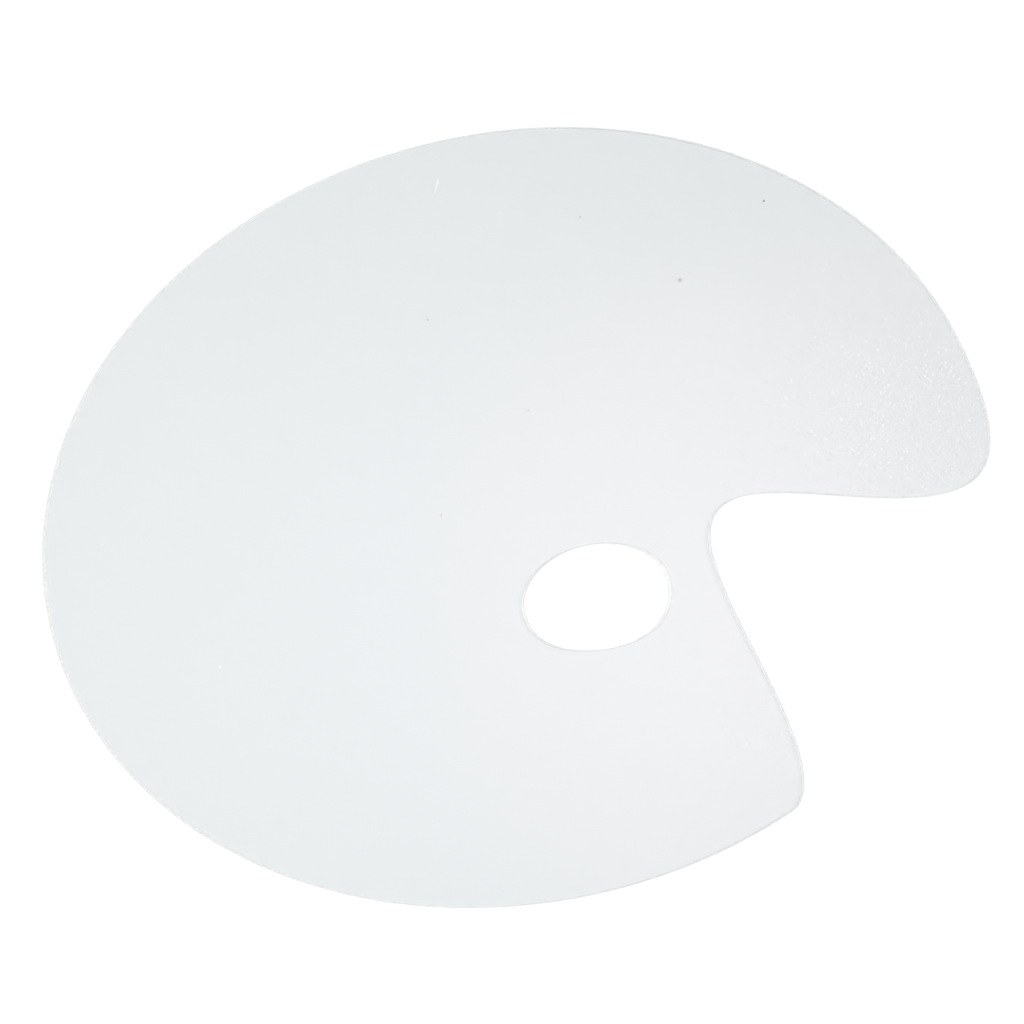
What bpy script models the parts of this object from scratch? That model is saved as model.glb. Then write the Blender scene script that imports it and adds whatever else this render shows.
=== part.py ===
"""A painter's mixing palette: one flat sheet of clear acrylic, cut to an oval with a finger notch and a thumb hole.

Units are metres and +Z is up. The sheet lies flat on Z = 0, and the origin is the middle of its underside's box.
+X runs along the oval towards the notched end, and +Y runs across it, away from the notch.
Both outlines are walked clockwise, as seen from above.
"""

from collections import namedtuple
from math import atan2, cos, degrees, pi, radians, sin

import bmesh
import bpy
from mathutils import Vector
from mathutils.geometry import interpolate_bezier

# The sheet
LENGTH = 0.3048
WIDTH = 0.2286
THICKNESS = 0.0030
RIM_ROUNDING = 0.0003
RIM_STEPS = 2

# The oval that most of its edge follows. The notch's upper lobe reaches a little past the oval's end.
OVAL_HALF_LENGTH = 0.1520
OVAL_HALF_WIDTH = WIDTH / 2
OVAL_CENTRE = Vector((OVAL_HALF_LENGTH - LENGTH / 2, 0, 0))
NOTCH_STARTS_AT = 11.25
NOTCH_ENDS_AT = -67.5
OVAL_STEPS = 150

# A turn is a point that an outline passes through: its place, the direction of travel there in degrees
# from +X, and how far the curve holds that direction before and after it, as the handles of a curve do.
Turn = namedtuple("Turn", "x y heading before after")

NOTCH_LEAVES_OVAL = 0.0340
NOTCH_MEETS_OVAL = 0.0068
NOTCH_TURNS = [
    Turn(0.1459, -0.0198, -141.3, 0.0033, 0.0152),  # nose of the upper lobe
    Turn(0.0851, -0.0128, 165.6, 0.0212, 0.0150),  # under the upper lobe
    Turn(0.0524, -0.0252, -88.7, 0.0203, 0.0075),  # the notch's inner end
    Turn(0.0577, -0.0536, -74.8, 0.0108, 0.0113),  # the side that the fingers wrap round
    Turn(0.0648, -0.0894, -87.7, 0.0114, 0.0058),  # nose of the lower lobe
]
NOTCH_STEPS = 12

THUMB_HOLE_TURNS = [
    Turn(0.0110, -0.0129, 1.7, 0.0117, 0.0134),  # top
    Turn(0.0369, -0.0285, -88.5, 0.0091, 0.0103),  # end next to the notch
    Turn(0.0160, -0.0445, 179.1, 0.0120, 0.0134),  # bottom
    Turn(-0.0108, -0.0283, 91.0, 0.0112, 0.0086),  # far end
]
THUMB_HOLE_STEPS = 14
CUTTER_OVERSHOOT = 0.002


def clear_scene():
    for old in list(bpy.data.objects):
        bpy.data.objects.remove(old, do_unlink=True)


def oval_turn(angle, before=0.0, after=0.0):
    """The turn at this angle of the oval, in degrees, travelling clockwise."""
    angle = radians(angle)
    place = OVAL_CENTRE + Vector((OVAL_HALF_LENGTH * cos(angle), OVAL_HALF_WIDTH * sin(angle), 0))
    heading = degrees(atan2(-OVAL_HALF_WIDTH * cos(angle), OVAL_HALF_LENGTH * sin(angle)))
    return Turn(place.x, place.y, heading, before, after)


def oval_arc(start, end, steps):
    """Points on the oval from start down to end, in degrees, leaving out the last."""
    angles = [start + (end - start) * step / steps for step in range(steps)]
    turns = [oval_turn(angle) for angle in angles]
    return [Vector((turn.x, turn.y, 0)) for turn in turns]


def place_of(turn):
    return Vector((turn.x, turn.y, 0))


def direction_of(turn):
    return Vector((cos(radians(turn.heading)), sin(radians(turn.heading)), 0))


def curve_through(turns, steps):
    """Points on one smooth curve through the turns, leaving out the last turn."""
    points = []
    for start, end in zip(turns, turns[1:]):
        leaving = place_of(start) + direction_of(start) * start.after
        arriving = place_of(end) - direction_of(end) * end.before
        points += interpolate_bezier(place_of(start), leaving, arriving, place_of(end), steps + 1)[:-1]
    return points


def sheet_outline():
    """The oval's long arc, from the lower lobe round to the upper one, and then the notch."""
    starts = oval_turn(NOTCH_STARTS_AT, after=NOTCH_LEAVES_OVAL)
    ends = oval_turn(NOTCH_ENDS_AT, before=NOTCH_MEETS_OVAL)
    notch = curve_through([starts, *NOTCH_TURNS, ends], NOTCH_STEPS)
    return notch + oval_arc(NOTCH_ENDS_AT, NOTCH_STARTS_AT - 360, OVAL_STEPS)


def thumb_hole_outline():
    return curve_through(THUMB_HOLE_TURNS + THUMB_HOLE_TURNS[:1], THUMB_HOLE_STEPS)


def prism(name, outline, bottom, height):
    """A closed upright solid with this clockwise outline."""
    mesh = bmesh.new()
    corners = [mesh.verts.new((point.x, point.y, bottom)) for point in outline]
    base = mesh.faces.new(corners)
    sides = bmesh.ops.extrude_face_region(mesh, geom=[base], use_keep_orig=True)
    raised = [item for item in sides["geom"] if isinstance(item, bmesh.types.BMVert)]
    bmesh.ops.translate(mesh, verts=raised, vec=(0, 0, height))
    bmesh.ops.recalc_face_normals(mesh, faces=mesh.faces)
    data = bpy.data.meshes.new(name)
    mesh.to_mesh(data)
    mesh.free()
    solid = bpy.data.objects.new(name, data)
    bpy.context.scene.collection.objects.link(solid)
    return solid


def cut(solid, cutter):
    """Takes the cutter's shape out of the solid."""
    cutter.hide_render = True
    cutter.display_type = "WIRE"
    boolean = solid.modifiers.new("cut " + cutter.name, "BOOLEAN")
    boolean.operation = "DIFFERENCE"
    boolean.solver = "EXACT"
    boolean.object = cutter


def soften_rims(solid):
    """Rounds the edges between the flat faces and the cut wall, as polishing does."""
    bevel = solid.modifiers.new("polished rims", "BEVEL")
    bevel.limit_method = "ANGLE"
    bevel.angle_limit = pi / 4
    bevel.width = RIM_ROUNDING
    bevel.segments = RIM_STEPS


def clear_acrylic():
    material = bpy.data.materials.new("clear_acrylic")
    material.use_nodes = True
    shader = material.node_tree.nodes["Principled BSDF"]
    shader.inputs["Base Color"].default_value = (0.95, 0.97, 0.97, 1)
    shader.inputs["Metallic"].default_value = 0
    shader.inputs["Roughness"].default_value = 0.04
    shader.inputs["IOR"].default_value = 1.49
    shader.inputs["Transmission Weight"].default_value = 1
    return material


def make_palette_sheet():
    sheet = prism("palette_sheet", sheet_outline(), 0, THICKNESS)
    cutter_height = THICKNESS + 2 * CUTTER_OVERSHOOT
    cutter = prism("thumb_hole_cutter", thumb_hole_outline(), -CUTTER_OVERSHOOT, cutter_height)
    cut(sheet, cutter)
    soften_rims(sheet)
    sheet.data.materials.append(clear_acrylic())
    sheet.data.shade_smooth()
    sheet.data.set_sharp_from_angle(angle=pi / 4)
    return sheet


clear_scene()
make_palette_sheet()
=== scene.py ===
"""The looks of the mixing palette: a clear acrylic sheet with slightly frosted edges, on a white floor."""
from collections import namedtuple
from math import cos, pi, radians, sin

import bmesh
import bpy
import numpy as np
from mathutils import Matrix, Vector


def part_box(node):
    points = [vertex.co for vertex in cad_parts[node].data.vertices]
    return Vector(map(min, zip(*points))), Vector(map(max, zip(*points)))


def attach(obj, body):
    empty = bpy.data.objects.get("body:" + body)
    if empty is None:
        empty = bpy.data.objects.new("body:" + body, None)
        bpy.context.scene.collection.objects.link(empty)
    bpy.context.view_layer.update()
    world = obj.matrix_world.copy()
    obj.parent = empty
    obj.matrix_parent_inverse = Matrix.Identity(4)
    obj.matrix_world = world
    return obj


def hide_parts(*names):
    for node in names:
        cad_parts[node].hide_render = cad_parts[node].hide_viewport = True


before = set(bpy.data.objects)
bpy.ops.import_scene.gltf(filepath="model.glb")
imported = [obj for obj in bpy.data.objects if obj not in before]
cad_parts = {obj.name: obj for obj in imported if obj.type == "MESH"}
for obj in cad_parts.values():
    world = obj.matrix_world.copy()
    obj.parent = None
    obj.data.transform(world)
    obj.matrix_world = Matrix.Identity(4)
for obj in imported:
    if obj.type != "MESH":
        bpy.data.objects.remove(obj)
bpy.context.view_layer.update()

CAD_NODE = "palette_sheet"
sheet_low, sheet_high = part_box(CAD_NODE)
THICKNESS = sheet_high.z - sheet_low.z

# The sheet's mesh
ROUNDING = 0.0003
RIM_STEPS = 4
TOP_SLOT, UNDERSIDE_SLOT, EDGE_SLOT, HOLE_SLOT, RIM_SLOT = range(5)
OUTLINE_SPACING = 0.0006
SAME_PLACE = 1e-6
SAME_LEVEL = 1e-5

# The acrylic: the tint of what is seen through it, and how much of the lamps' light each surface passes
TINT = (0.824, 0.857, 0.862)
PASSED_ON = (0.912, 0.912, 0.912)
ACRYLIC_IOR = 1.49
WAVES_SCALE = 14
WAVES_HEIGHT = 0.0001

# The cut wall and its rims: a frosted skin over clear acrylic, in colours seen from outside and from
# inside. The wall colours are the skin's grey with painted light in them: the inside is painted lighter
# than the outside, and the hole's wall lighter than the sheet's edge.
CUT_ROUGHNESS = 0.15
EDGE_OUTSIDE_FROST_AND_PAINTED_LIGHT, EDGE_INSIDE_FROST_AND_PAINTED_LIGHT = (0.66, 0.665, 0.665), (0.76, 0.77, 0.77)
HOLE_OUTSIDE_FROST_AND_PAINTED_LIGHT, HOLE_INSIDE_FROST_AND_PAINTED_LIGHT = (0.73, 0.74, 0.74), (0.87, 0.88, 0.88)
RIM_COLOUR = (0.66, 0.67, 0.67)
WALL_FROST = 0.95
RIM_FROST = 0.9
GRAIN_SCALE = 2200
GRAIN_UPRIGHT = 0.02  # how little the grain changes up the wall, beside how it changes along it
GRAIN_SPREAD = (0.3, 0.7)
GRAIN_SHADES = (0.92, 1.08)

# Marks lying on the mixing face: each one's middle, length, width, turn about +Z and how pale it is
Mark = namedtuple("Mark", "x y length width turn paleness")
MARKS = [
    Mark(0.0628, 0.0582, 0.0013, 0.0011, 0, 0.48),
    Mark(0.0959, 0.0760, 0.0009, 0.0007, 30, 0.36),
    Mark(0.0360, 0.0832, 0.0007, 0.0006, 0, 0.53),
    Mark(0.0055, 0.0303, 0.0008, 0.0006, 0, 0.57),
    Mark(-0.0293, 0.0060, 0.0006, 0.0007, 0, 0.54),
    Mark(-0.0190, 0.0631, 0.0006, 0.0006, 0, 0.54),
    Mark(0.0057, 0.0640, 0.0006, 0.0005, 0, 0.57),
    Mark(-0.1065, -0.0219, 0.0012, 0.0007, 60, 0.82),
    Mark(-0.0402, 0.0379, 0.0007, 0.0006, 0, 0.82),
    Mark(0.0352, 0.0701, 0.0007, 0.0007, 0, 0.82),
    Mark(0.0112, 0.0895, 0.0007, 0.0007, 0, 0.82),
    Mark(-0.0064, 0.1014, 0.0052, 0.0006, 62, 0.74),
    Mark(0.0840, 0.0148, 0.0110, 0.0003, -23, 0.73),
    Mark(0.1040, 0.0098, 0.0150, 0.0002, -4, 0.73),
    Mark(0.0990, -0.0030, 0.0050, 0.0003, -40, 0.73),
]
MARK_DEPTH = 0.001

# Dust: pale specks about a cell apart, thick on the tip beside the notch and thinner on the lower lobe
DUST_CELLS = 620  # along a metre
DUST_RADIUS = 0.15  # of a cell: the specks have from half as much to half as much again
DUST_PALENESS = (0.65, 0.76)
Dusty = namedtuple("Dusty", "x y reach share")
DUSTY_PLACES = [
    Dusty(0.127, 0.000, 0.060, 0.90),
    Dusty(0.100, 0.010, 0.064, 0.45),
    Dusty(0.060, -0.080, 0.034, 0.40),
]
DUST_ANYWHERE = 0.006

# The light: heights are the z of a direction of length 1, and the rest are radiances
TENT_FOOT_ENDS = 0.3
TENT_SIDES_START = 0.5
TENT_SIDES_END = 0.62
TENT_CEILING_STARTS = 0.85
TENT_FOOT = 0.7
TENT_SIDES = 2.505
TENT_CEILING = 0.3
TENT_LEAN = -0.45  # more light from the end without the notch
Lamp = namedtuple("Lamp", "toward tightness colour")
LAMPS = [
    Lamp(toward=(0.2932, -0.0116, 0.956), tightness=110, colour=(1.73, 1.76, 1.83)),
    Lamp(toward=(0.3965, -0.0290, 0.918), tightness=438, colour=(1.70, 1.28, 1.42)),
]

# The floor
FLOOR_HALF_SIZE = 4
FLOOR_GAP = 0.0002
FLOOR_WHITE = 0.88
FLOOR_ROUGHNESS = 0.9

# The camera: it looks down past the end without the notch, and is turned about its own line of sight
CAMERA_TILT = 20.66
CAMERA_ROLL = 13.53
CAMERA_DISTANCE = 1.5
CAMERA_TARGET = (-0.0062, 0.0020, 0)
CAMERA_LENS = 177.3


def wall_outlines():
    """The closed outlines of the CAD sheet's cut wall: the sheet's own edge, then the thumb hole's."""
    mesh = bmesh.new()
    mesh.from_mesh(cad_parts[CAD_NODE].data)
    bmesh.ops.remove_doubles(mesh, verts=mesh.verts, dist=SAME_PLACE)
    middle = (sheet_low.z + sheet_high.z) / 2
    level = max(vert.co.z for vert in mesh.verts if vert.co.z < middle)
    ring = {vert for vert in mesh.verts if abs(vert.co.z - level) < SAME_LEVEL}
    outlines = []
    while ring:
        vert = min(ring, key=lambda vert: tuple(vert.co))
        ring.remove(vert)
        outline = [vert.co.copy()]
        while vert:
            beside = [edge.other_vert(vert) for edge in vert.link_edges]
            vert = next((other for other in beside if other in ring), None)
            if vert:
                ring.remove(vert)
                outline.append(vert.co.copy())
        outlines.append(np.array([(point.x, point.y) for point in outline]))
    mesh.free()
    return sorted(outlines, key=perimeter, reverse=True)


def perimeter(points):
    return np.linalg.norm(np.roll(points, -1, axis=0) - points, axis=1).sum()


def smooth_outline(points):
    """An evenly spaced closed curve through the points, as a periodic cubic spline."""
    steps = np.linalg.norm(np.roll(points, -1, axis=0) - points, axis=1)
    count = len(points)
    system = np.zeros((count, count))
    slopes = np.roll(points, -1, axis=0) - points
    slopes = slopes / steps[:, None]
    for here in range(count):
        before = (here - 1) % count
        after = (here + 1) % count
        system[here, before] = steps[here]
        system[here, here] = 2 * (steps[before] + steps[here])
        system[here, after] = steps[before]
    right = 3 * (steps[:, None] * np.roll(slopes, 1, axis=0) + np.roll(steps, 1)[:, None] * slopes)
    tangents = np.linalg.solve(system, right)
    total = steps.sum()
    wanted = np.arange(int(total / OUTLINE_SPACING)) * OUTLINE_SPACING
    wanted *= total / (len(wanted) * OUTLINE_SPACING)
    starts = np.concatenate([[0], np.cumsum(steps)[:-1]])
    span = np.searchsorted(starts, wanted, side="right") - 1
    share = ((wanted - starts[span]) / steps[span])[:, None]
    after = (span + 1) % count
    length = steps[span][:, None]
    return (
        (2 * share**3 - 3 * share**2 + 1) * points[span]
        + (share**3 - 2 * share**2 + share) * length * tangents[span]
        + (3 * share**2 - 2 * share**3) * points[after]
        + (share**3 - share**2) * length * tangents[after]
    )


def outward_normals(points, hole):
    """Unit vectors square to the outline, pointing away from the acrylic."""
    along = np.roll(points, -1, axis=0) - np.roll(points, 1, axis=0)
    across = np.column_stack([along[:, 1], -along[:, 0]])
    across /= np.linalg.norm(across, axis=1)[:, None]
    turned = np.roll(points, -1, axis=0)
    anticlockwise = np.sum(points[:, 0] * turned[:, 1] - turned[:, 0] * points[:, 1]) > 0
    return across if anticlockwise != hole else -across


def edge_profile():
    """(inset, height, lean, rise) up the cut edge: each ring's place, and the two parts of its normal."""
    turns = [pi / 2 * step / RIM_STEPS for step in range(RIM_STEPS + 1)]
    corner = [(ROUNDING * (1 - sin(a)), ROUNDING * (1 - cos(a)), sin(a), cos(a)) for a in turns]
    lower = [(inset, height, lean, -rise) for inset, height, lean, rise in corner]
    upper = [(inset, THICKNESS - height, lean, rise) for inset, height, lean, rise in corner]
    return lower + upper[::-1]


def make_sheet():
    mesh = bmesh.new()
    lowest, highest, shading = [], [], []
    for index, outline in enumerate(wall_outlines()):
        points = smooth_outline(outline)
        normals = outward_normals(points, hole=index > 0)
        rings = []
        for inset, height, lean, rise in edge_profile():
            places = points - inset * normals
            rings.append([mesh.verts.new((x, y, sheet_low.z + height)) for x, y in places])
            shading += [(lean * x, lean * y, rise) for x, y in normals]
        wall = HOLE_SLOT if index else EDGE_SLOT
        for step, (below, above) in enumerate(zip(rings, rings[1:])):
            for here in range(len(below)):
                after = (here + 1) % len(below)
                face = mesh.faces.new([below[here], below[after], above[after], above[here]])
                face.material_index = wall if step == RIM_STEPS else RIM_SLOT
        lowest.append(rings[0])
        highest.append(rings[-1])
    for flat, slot in ((lowest, UNDERSIDE_SLOT), (highest, TOP_SLOT)):
        edges = []
        for ring in flat:
            for here in range(len(ring)):
                edges.append(mesh.edges.get((ring[here], ring[(here + 1) % len(ring)])))
        filled = bmesh.ops.triangle_fill(mesh, edges=edges, use_beauty=True)["geom"]
        for face in filled:
            if isinstance(face, bmesh.types.BMFace):
                face.material_index = slot
    bmesh.ops.recalc_face_normals(mesh, faces=mesh.faces)
    data = bpy.data.meshes.new("clear_sheet")
    mesh.to_mesh(data)
    mesh.free()
    sheet = bpy.data.objects.new("clear_sheet", data)
    bpy.context.scene.collection.objects.link(sheet)
    data.shade_smooth()
    data.normals_split_custom_set_from_vertices(shading)
    return sheet


def node(tree, kind, **settings):
    made = tree.nodes.new("ShaderNode" + kind)
    for name, value in settings.items():
        setattr(made, name, value)
    return made


def sum_up(tree, operation, first, second, third=None):
    """One Math node: its inputs are numbers or sockets."""
    made = node(tree, "Math", operation=operation)
    for socket, value in zip(made.inputs, (first, second, third)):
        if isinstance(value, bpy.types.NodeSocket):
            tree.links.new(value, socket)
        elif value is not None:
            socket.default_value = value
    return made.outputs[0]


def ramp(tree, value, start, end, low=0.0, high=1.0):
    """`value` from start to end becomes low to high, smoothly and held beyond both."""
    made = node(tree, "MapRange", interpolation_type="SMOOTHSTEP")
    for name, number in zip(("From Min", "From Max", "To Min", "To Max"), (start, end, low, high)):
        made.inputs[name].default_value = number
    tree.links.new(value, made.inputs["Value"])
    return made.outputs["Result"]


def mixed(tree, share, first, second):
    """A Mix Shader of two shaders' outputs."""
    made = node(tree, "MixShader")
    if isinstance(share, bpy.types.NodeSocket):
        tree.links.new(share, made.inputs[0])
    else:
        made.inputs[0].default_value = share
    tree.links.new(first, made.inputs[1])
    tree.links.new(second, made.inputs[2])
    return made.outputs[0]


def lets_lamps_through(tree, seen):
    """Lets lamps light what is behind this surface: it is a plain filter for them, and `seen` for sight."""
    path = node(tree, "LightPath")
    lit = sum_up(tree, "MAXIMUM", path.outputs["Is Shadow Ray"], path.outputs["Is Diffuse Ray"])
    clear = node(tree, "BsdfTransparent")
    clear.inputs["Color"].default_value = (*PASSED_ON, 1)
    surface = mixed(tree, lit, seen, clear.outputs[0])
    tree.links.new(surface, tree.nodes["Material Output"].inputs["Surface"])


def acrylic(name, roughness):
    """A new material and its Principled node, which is clear acrylic."""
    material = bpy.data.materials.new(name)
    material.use_nodes = True
    shader = material.node_tree.nodes["Principled BSDF"]
    shader.inputs["Base Color"].default_value = (*TINT, 1)
    shader.inputs["Roughness"].default_value = roughness
    shader.inputs["IOR"].default_value = ACRYLIC_IOR
    shader.inputs["Transmission Weight"].default_value = 1
    return material, shader


def cast_waviness(tree, shader, place):
    """Slight unevenness of a cast sheet, which only its reflections show."""
    waves = node(tree, "TexNoise")
    waves.inputs["Scale"].default_value = WAVES_SCALE
    waves.inputs["Detail"].default_value = 1
    tree.links.new(place, waves.inputs["Vector"])
    bump = node(tree, "Bump")
    bump.inputs["Strength"].default_value = 1
    bump.inputs["Distance"].default_value = WAVES_HEIGHT
    tree.links.new(waves.outputs["Fac"], bump.inputs["Height"])
    tree.links.new(bump.outputs["Normal"], shader.inputs["Normal"])


def dust(tree, place):
    """Where the small round specks lie, each in a cell of its own, and how pale each is."""
    cells = node(tree, "TexVoronoi", voronoi_dimensions="2D")
    cells.inputs["Scale"].default_value = DUST_CELLS
    tree.links.new(place, cells.inputs["Vector"])
    chance = node(tree, "SeparateColor")
    tree.links.new(cells.outputs["Color"], chance.inputs[0])
    share = DUST_ANYWHERE
    for dusty in DUSTY_PLACES:
        away = node(tree, "VectorMath", operation="DISTANCE")
        away.inputs[1].default_value = (dusty.x, dusty.y, sheet_high.z)
        tree.links.new(place, away.inputs[0])
        near = ramp(tree, away.outputs["Value"], dusty.reach, 0, high=dusty.share)
        share = sum_up(tree, "MAXIMUM", share, near)
    chosen = sum_up(tree, "LESS_THAN", chance.outputs["Red"], share)
    radius = sum_up(tree, "MULTIPLY_ADD", chance.outputs["Green"], DUST_RADIUS, DUST_RADIUS / 2)
    speck = sum_up(tree, "LESS_THAN", cells.outputs["Distance"], radius)
    darkest, palest = DUST_PALENESS
    paleness = sum_up(tree, "MULTIPLY_ADD", chance.outputs["Blue"], palest - darkest, darkest)
    return sum_up(tree, "MULTIPLY", chosen, speck), paleness


def add_mark(tree, place, mark, lies, paleness):
    """Adds one oval mark to `lies`, which is 1 where something lies on the face, and to its paleness."""
    inside = node(tree, "Mapping", vector_type="TEXTURE")
    inside.inputs["Location"].default_value = (mark.x, mark.y, sheet_high.z)
    inside.inputs["Rotation"].default_value = (0, 0, radians(mark.turn))
    inside.inputs["Scale"].default_value = (mark.length / 2, mark.width / 2, MARK_DEPTH)
    tree.links.new(place, inside.inputs["Vector"])
    reach = node(tree, "VectorMath", operation="LENGTH")
    tree.links.new(inside.outputs[0], reach.inputs[0])
    here = sum_up(tree, "LESS_THAN", reach.outputs["Value"], 1)
    tone = node(tree, "Mix", data_type="FLOAT")
    tree.links.new(here, tone.inputs["Factor"])
    tree.links.new(paleness, tone.inputs["A"])
    tone.inputs["B"].default_value = mark.paleness
    return sum_up(tree, "MAXIMUM", lies, here), tone.outputs["Result"]


def mixing_face_material():
    """The top: clear, with dust, a fibre, faint scratches and a few dark specks on it."""
    material, shader = acrylic("clear_acrylic", 0.0)
    tree = material.node_tree
    place = node(tree, "TexCoord").outputs["Object"]
    cast_waviness(tree, shader, place)
    lies, paleness = dust(tree, place)
    for mark in MARKS:
        lies, paleness = add_mark(tree, place, mark, lies, paleness)
    litter = node(tree, "BsdfDiffuse")
    tree.links.new(paleness, litter.inputs["Color"])
    lets_lamps_through(tree, mixed(tree, lies, shader.outputs[0], litter.outputs[0]))
    return material


def underside_material():
    material, shader = acrylic("clear_underside", 0.0)
    tree = material.node_tree
    cast_waviness(tree, shader, node(tree, "TexCoord").outputs["Object"])
    lets_lamps_through(tree, shader.outputs[0])
    return material


def cut_material(name, outside, inside, frost_share):
    """Cut acrylic with a matt skin in fine upright lines, whose colour differs inside and outside; that
    difference is painted light, with the side seen from within the sheet painted lighter.
    """
    material, shader = acrylic(name, CUT_ROUGHNESS)
    tree = material.node_tree
    place = node(tree, "TexCoord").outputs["Object"]
    lines = node(tree, "Mapping")
    lines.inputs["Scale"].default_value = (1, 1, GRAIN_UPRIGHT)
    tree.links.new(place, lines.inputs["Vector"])
    grain = node(tree, "TexNoise")
    grain.inputs["Scale"].default_value = GRAIN_SCALE
    grain.inputs["Detail"].default_value = 3
    tree.links.new(lines.outputs[0], grain.inputs["Vector"])
    colour = node(tree, "Mix", data_type="RGBA")
    colour.inputs["A"].default_value = (*outside, 1)
    colour.inputs["B"].default_value = (*inside, 1)
    # Painted light: the colour switches to the lighter inside colour where the wall is seen from within the
    # sheet.
    tree.links.new(node(tree, "NewGeometry").outputs["Backfacing"], colour.inputs["Factor"])
    shade = ramp(tree, grain.outputs["Fac"], *GRAIN_SPREAD, *GRAIN_SHADES)
    tone = node(tree, "VectorMath", operation="SCALE")
    tree.links.new(colour.outputs["Result"], tone.inputs[0])
    tree.links.new(shade, tone.inputs["Scale"])
    frost = node(tree, "BsdfDiffuse")
    tree.links.new(tone.outputs[0], frost.inputs["Color"])
    lets_lamps_through(tree, mixed(tree, frost_share, shader.outputs[0], frost.outputs[0]))
    return material


def make_floor():
    mesh = bmesh.new()
    bmesh.ops.create_grid(mesh, x_segments=1, y_segments=1, size=FLOOR_HALF_SIZE)
    data = bpy.data.meshes.new("floor")
    mesh.to_mesh(data)
    mesh.free()
    floor = bpy.data.objects.new("floor", data)
    floor.location.z = sheet_low.z - FLOOR_GAP
    bpy.context.scene.collection.objects.link(floor)
    material = bpy.data.materials.new("white_floor")
    material.use_nodes = True
    shader = material.node_tree.nodes["Principled BSDF"]
    shader.inputs["Base Color"].default_value = (FLOOR_WHITE, FLOOR_WHITE, FLOOR_WHITE, 1)
    shader.inputs["Roughness"].default_value = FLOOR_ROUGHNESS
    shader.inputs["Specular IOR Level"].default_value = 0
    data.materials.append(material)


def soft_lamp(tree, direction, lamp):
    """A soft patch of light on the sky: the colour that it adds."""
    toward = node(tree, "VectorMath", operation="DOT_PRODUCT")
    toward.inputs[1].default_value = Vector(lamp.toward).normalized()
    tree.links.new(direction, toward.inputs[0])
    fall = sum_up(tree, "MULTIPLY_ADD", toward.outputs["Value"], lamp.tightness, -lamp.tightness)
    shine = sum_up(tree, "EXPONENT", fall, None)
    colour = node(tree, "VectorMath", operation="SCALE")
    colour.inputs[0].default_value = lamp.colour
    tree.links.new(shine, colour.inputs["Scale"])
    return colour.outputs[0]


def make_light():
    """A light tent: a dim foot, bright sides, a dimmer ceiling, and two soft lamps on the ceiling."""
    world = bpy.data.worlds.new("studio")
    world.use_nodes = True
    tree = world.node_tree
    direction = node(tree, "TexCoord").outputs["Generated"]
    part = node(tree, "SeparateXYZ")
    tree.links.new(direction, part.inputs[0])
    rising = ramp(tree, part.outputs["Z"], TENT_FOOT_ENDS, TENT_SIDES_START, TENT_FOOT, TENT_SIDES)
    falling = ramp(tree, part.outputs["Z"], TENT_SIDES_END, TENT_CEILING_STARTS, TENT_SIDES, TENT_CEILING)
    tent = sum_up(tree, "MINIMUM", rising, falling)
    lean = sum_up(tree, "MULTIPLY_ADD", part.outputs["X"], TENT_LEAN, 1)
    total = sum_up(tree, "MULTIPLY", tent, lean)
    for lamp in LAMPS:
        add = node(tree, "VectorMath", operation="ADD")
        tree.links.new(total, add.inputs[0])
        tree.links.new(soft_lamp(tree, direction, lamp), add.inputs[1])
        total = add.outputs[0]
    tree.links.new(total, tree.nodes["Background"].inputs["Color"])
    bpy.context.scene.world = world


def make_camera():
    tilt = radians(CAMERA_TILT)
    roll = radians(CAMERA_ROLL)
    back = Vector((-sin(tilt), 0, cos(tilt)))
    level = Vector((cos(tilt), 0, sin(tilt)))
    across = back.cross(level)
    right = cos(roll) * level - sin(roll) * across
    up = back.cross(right)
    data = bpy.data.cameras.new("camera")
    data.lens = CAMERA_LENS
    data.sensor_width = 36
    camera = bpy.data.objects.new("camera", data)
    bpy.context.scene.collection.objects.link(camera)
    turn = Matrix((right, up, back)).transposed().to_4x4()
    camera.matrix_world = Matrix.Translation(Vector(CAMERA_TARGET) + CAMERA_DISTANCE * back) @ turn
    bpy.context.scene.camera = camera


sheet = make_sheet()
sheet.data.materials.append(mixing_face_material())
sheet.data.materials.append(underside_material())
# Painted light: the sheet's edge and the hole's wall are the same cut acrylic, given two colours, with the
# hole's painted lighter.
sheet.data.materials.append(cut_material("cut_edge_with_painted_light", EDGE_OUTSIDE_FROST_AND_PAINTED_LIGHT, EDGE_INSIDE_FROST_AND_PAINTED_LIGHT, WALL_FROST))
sheet.data.materials.append(cut_material("cut_hole_with_painted_light", HOLE_OUTSIDE_FROST_AND_PAINTED_LIGHT, HOLE_INSIDE_FROST_AND_PAINTED_LIGHT, WALL_FROST))
sheet.data.materials.append(cut_material("cut_rim", RIM_COLOUR, RIM_COLOUR, RIM_FROST))
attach(sheet, "root")
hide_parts(CAD_NODE)
make_floor()
make_light()
make_camera()
bpy.context.scene.view_settings.view_transform = "Standard"
